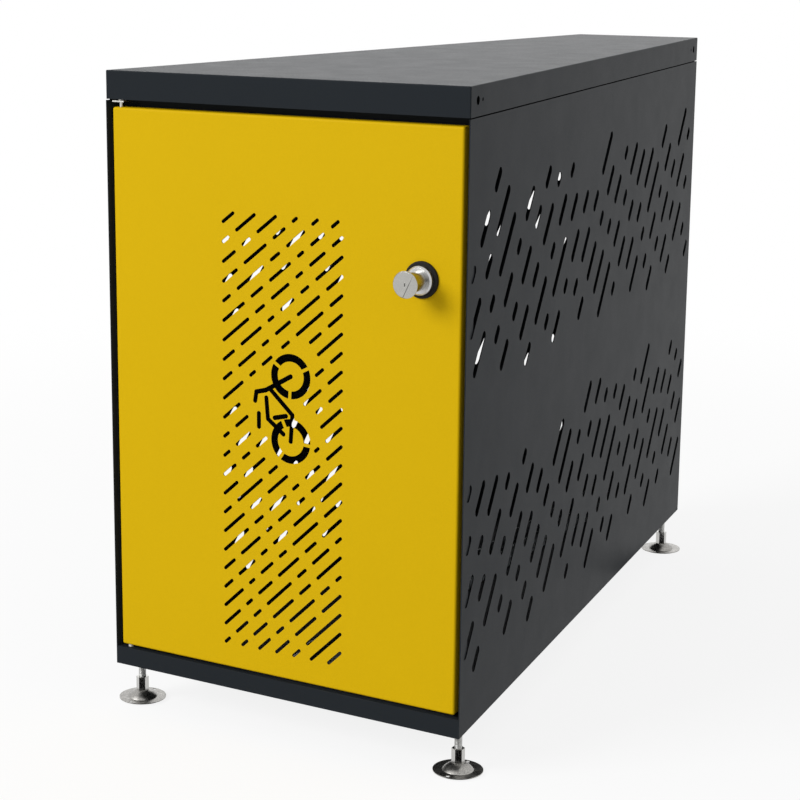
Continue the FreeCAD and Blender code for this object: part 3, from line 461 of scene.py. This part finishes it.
TURNED = (1, 1, 0.1)
DRAWN = (1, 1, 0.08)

# Margins round the slots of a sheet: at the start, the end, the bottom and the top
SIDE_MARGINS = (8.8 * MM, 9.5 * MM, 95 * MM, 153 * MM)
DOOR_MARGINS = (269 * MM, 259 * MM, 48.5 * MM, 189 * MM)


def slotted(node, faces, across, margins):
    """Axis that a slotted sheet faces, the axis across it and the field of its slots."""
    low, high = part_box(node)
    index = "XYZ".index(across)
    start, end, bottom, top = margins
    field = (low[index] + start, high[index] - end, low[2] + bottom, high[2] - top)
    return faces, across, field


SIDE_SLOTS = slotted("side_panel_right", faces="X", across="Y", margins=SIDE_MARGINS)
DOOR_SLOTS = slotted("door_shell", faces="Y", across="X", margins=DOOR_MARGINS)

# Heights of the seam under the roof's lip and of what the lip covers, where shade is painted
SEAM_HEIGHT = 2.7 * MM
LIP_COVER = 80 * MM
LIP_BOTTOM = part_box("roof_cap")[0][2]
LIP_SEAM = (LIP_BOTTOM - SEAM_HEIGHT, LIP_BOTTOM + LIP_COVER)

# Crease of the thumb rest on the knob's face, along which shade is painted
THUMB_OFFSET = 7.5 * MM
THUMB_ROLL = math.radians(26.1)
KNOB_AXIS = (Vector(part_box("lock_knob")[0]) + Vector(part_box("lock_knob")[1])) / 2
THUMB_CREASE = (KNOB_AXIS, THUMB_OFFSET, THUMB_ROLL)

dark_coat = powder_coat("dark_coat", **ANTHRACITE)
# Painted shade on the walls of the side slots and in the seam under the roof's lip
panel_coat = powder_coat(
    "panel_coat", **ANTHRACITE, slots=SIDE_SLOTS, painted_shade=linear(12, 12, 13), seam=LIP_SEAM
)
yellow_coat = powder_coat("yellow_coat", **ZINC_YELLOW)
# Painted shade, dark brown, on the walls of the door's slots
door_coat = powder_coat("door_coat", **ZINC_YELLOW, slots=DOOR_SLOTS, painted_shade=linear(44, 30, 10))
black_plug = powder_coat("black_plug", **PLUG_BLACK)
nylon = powder_coat("nylon", **NYLON_WHITE)
polished_steel = bare_metal(
    "polished_steel", linear(178, 176, 172), roughness=0.3, grain=420, spots=0.85
)
sleeve_steel = bare_metal(
    "sleeve_steel", linear(202, 201, 198), roughness=0.16, grain=600, stretch=DRAWN
)
satin_steel = bare_metal("satin_steel", linear(205, 205, 205), roughness=0.3, grain=800)
chrome = bare_metal("knob_chrome", **CHROME, crease=THUMB_CREASE)
key_chrome = bare_metal("key_chrome", **CHROME, edges=KEY_EDGE)
zinc = bare_metal("zinc_plate", linear(212, 210, 204), roughness=0.34, grain=700)
brass = bare_metal(
    "turned_brass", linear(206, 176, 112), roughness=0.28, grain=600, stretch=TURNED
)
stud_steel = threaded_metal(
    "stud_steel", linear(212, 212, 210), roughness=0.46, pitch=THREAD_PITCH
)
galvanised = galvanised_metal("galvanised_sheet", linear(178, 182, 184))
black_rubber = rubber("black_rubber", linear(20, 19, 17), roughness=0.62, gloss=0.2)

FINISH_OF_SLOT = {
    "dark_paint": dark_coat,
    "yellow_paint": yellow_coat,
    "stainless": polished_steel,
    "satin_steel": satin_steel,
    "zinc_steel": zinc,
    "galvanised": galvanised,
    "bright_chrome": chrome,
    "brass_bush": brass,
    "black_rubber": black_rubber,
}
FINISH_OF_NODE = {
    "door_shell": door_coat,
    "key_plug": key_chrome,
    "hinge_spacer": nylon,
    "roof_plugs": black_plug,
    "roof_rivets": black_plug,
}
FINISH_OF_KIND = {
    "side_panel": panel_coat,
    "foot_stud": stud_steel,
    "foot_sleeve": sleeve_steel,
}
SLOT_OF_NODE = {entry["node"]: entry["material_slot"] for entry in frame["record"]["subparts"]}


def finish_of(name):
    """Material of a node: its own, its kind's or its slot's. Two words name a kind."""
    kind = "_".join(name.split("_")[:2])
    slot = SLOT_OF_NODE[name]
    return FINISH_OF_NODE.get(name) or FINISH_OF_KIND.get(kind) or FINISH_OF_SLOT[slot]


for name, thing in nodes.items():
    for index in range(len(thing.data.materials)):
        thing.data.materials[index] = finish_of(name)


# Camera, fitted to the photograph

CAMERA_PLACE = Vector((2.2108, -4.3957, 1.6956))
CAMERA_DEGREES = (77.088, 0.0, 31.758)
LENS_MM = 93.955
SENSOR_MM = 36.0
# Share of the picture's width
CAMERA_SHIFT = 0.1343
CLIP_END = 200.0


def studio_camera():
    """Camera at the photograph's viewing angle."""
    camera = bpy.data.cameras.new("camera")
    camera.lens = LENS_MM
    camera.sensor_width = SENSOR_MM
    camera.shift_x = CAMERA_SHIFT
    camera.clip_end = CLIP_END
    eye = bpy.data.objects.new("camera", camera)
    eye.location = CAMERA_PLACE
    eye.rotation_euler = Euler([math.radians(part) for part in CAMERA_DEGREES], "XYZ")
    bpy.context.scene.collection.objects.link(eye)
    bpy.context.scene.camera = eye


# Studio

# Half the side of the floor, and the distances from its middle between which the shadow
# fades out
FLOOR_REACH = 60.0
SHADOW_FADE = (1.6, 4.5)
# Shares of light that the floor gives back: what the camera sees of it near the locker,
# and what goes on as soft light
SHADOW_DEPTH = 0.14
BOUNCE = 0.5
WORLD_LEVEL = 0.5
# The dark card behind the camera, and the cards on the floor by the feet
FLAG_PLACE = Vector((3.3, -6.4, 1.3))
FLAG_HALF_SIZE = (1.5, 1.3)
FOOT_CARD_HALF_SIZE = (0.11, 0.07)
FOOT_CARD_REACH = 0.16
FOOT_CARD_LIFT = 0.6 * MM
CARD_TONE = linear(24, 24, 25)


def flat_sheet(name, half_width, half_height):
    """Flat stage sheet round its own origin, without a material."""
    mesh = bpy.data.meshes.new(name)
    corners = [
        (-half_width, -half_height, 0),
        (half_width, -half_height, 0),
        (half_width, half_height, 0),
        (-half_width, half_height, 0),
    ]
    mesh.from_pydata(corners, [], [(0, 1, 2, 3)])
    thing = bpy.data.objects.new(name, mesh)
    bpy.context.scene.collection.objects.link(thing)
    return thing


def studio_floor():
    """White floor that shows a soft shadow near the locker and gives back plain soft light."""
    thing = flat_sheet("studio_floor", FLOOR_REACH, FLOOR_REACH)
    made = Surface("studio_floor")
    seen = made.seen_share()
    distance = made.add("ShaderNodeVectorMath", {"operation": "LENGTH"})
    made.feed(distance.inputs[0], made.place)
    near = made.span(distance.outputs["Value"], SHADOW_FADE, (SHADOW_DEPTH, 0.0), smooth=True)
    albedo = made.span(seen, RISE, (BOUNCE, near))
    matt = made.add("ShaderNodeBsdfDiffuse", Color=made.blend(albedo, BLACK, WHITE))
    glow = made.add("ShaderNodeEmission", Strength=made.times(seen, made.minus(1.0, near)))
    both = made.add("ShaderNodeAddShader")
    made.feed_in_order(both, matt.outputs["BSDF"], glow.outputs["Emission"])
    made.show(both.outputs["Shader"])
    thing.data.materials.append(made.material)


def studio_world():
    """White for the camera and for reflections, a plain grey level for soft light."""
    world = bpy.data.worlds.new("studio")
    world.use_nodes = True
    made = ShaderTree(world.node_tree, "ShaderNodeOutputWorld")
    strength = made.span(made.seen_share(), RISE, (WORLD_LEVEL, 1.0))
    background = made.add("ShaderNodeBackground", Color=WHITE, Strength=strength)
    made.show(background.outputs["Background"])
    bpy.context.scene.world = world


def card_material():
    made = Surface("card_black")
    made.show(made.add("ShaderNodeBsdfDiffuse", Color=CARD_TONE).outputs["BSDF"])
    return made.material


def black_card(name, half_size, place, turn, material):
    """Black stage card that only shows in what mirrors it."""
    thing = flat_sheet(name, *half_size)
    thing.location = place
    thing.rotation_euler = turn
    thing.visible_camera = False
    thing.visible_diffuse = False
    thing.visible_transmission = False
    thing.visible_shadow = False
    thing.data.materials.append(material)


def lay_foot_card(foot, material):
    """Black card on the floor on the camera's side of a foot, for its sleeve to mirror."""
    low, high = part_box(f"foot_sleeve_{foot}")
    middle = (Vector(low) + Vector(high)) / 2
    towards = CAMERA_PLACE - middle
    towards.z = 0
    towards.normalize()
    place = middle + towards * FOOT_CARD_REACH
    place.z = FOOT_CARD_LIFT
    turn = Euler((0, 0, math.atan2(towards.y, towards.x)))
    black_card(f"foot_card_{foot}", FOOT_CARD_HALF_SIZE, place, turn, material)


def soft_lamp(name, place, target, width, height, watts):
    """Area lamp that points from its place at a target."""
    light = bpy.data.lights.new(name, "AREA")
    light.shape = "RECTANGLE"
    light.size = width
    light.size_y = height
    light.energy = watts
    lamp = bpy.data.objects.new(name, light)
    lamp.location = place
    lamp.rotation_euler = (Vector(target) - Vector(place)).to_track_quat("-Z", "Y").to_euler()
    bpy.context.scene.collection.objects.link(lamp)


studio_floor()
studio_world()
card_black = card_material()
flag_turn = (-FLAG_PLACE).to_track_quat("Z", "Y").to_euler()
black_card("dark_flag", FLAG_HALF_SIZE, FLAG_PLACE, flag_turn, card_black)
for foot in ("front_left", "front_right", "rear_right"):
    lay_foot_card(foot, card_black)
soft_lamp("key", (-7.2, -12.8, 8.7), target=(0, -0.9, 0.7), width=8.0, height=6.5, watts=1740)
soft_lamp("rear", (-4.4, 8.6, 3.6), target=(0, 0, 1.2), width=5.0, height=3.0, watts=27)
studio_camera()
bpy.context.scene.view_settings.view_transform = "Standard"
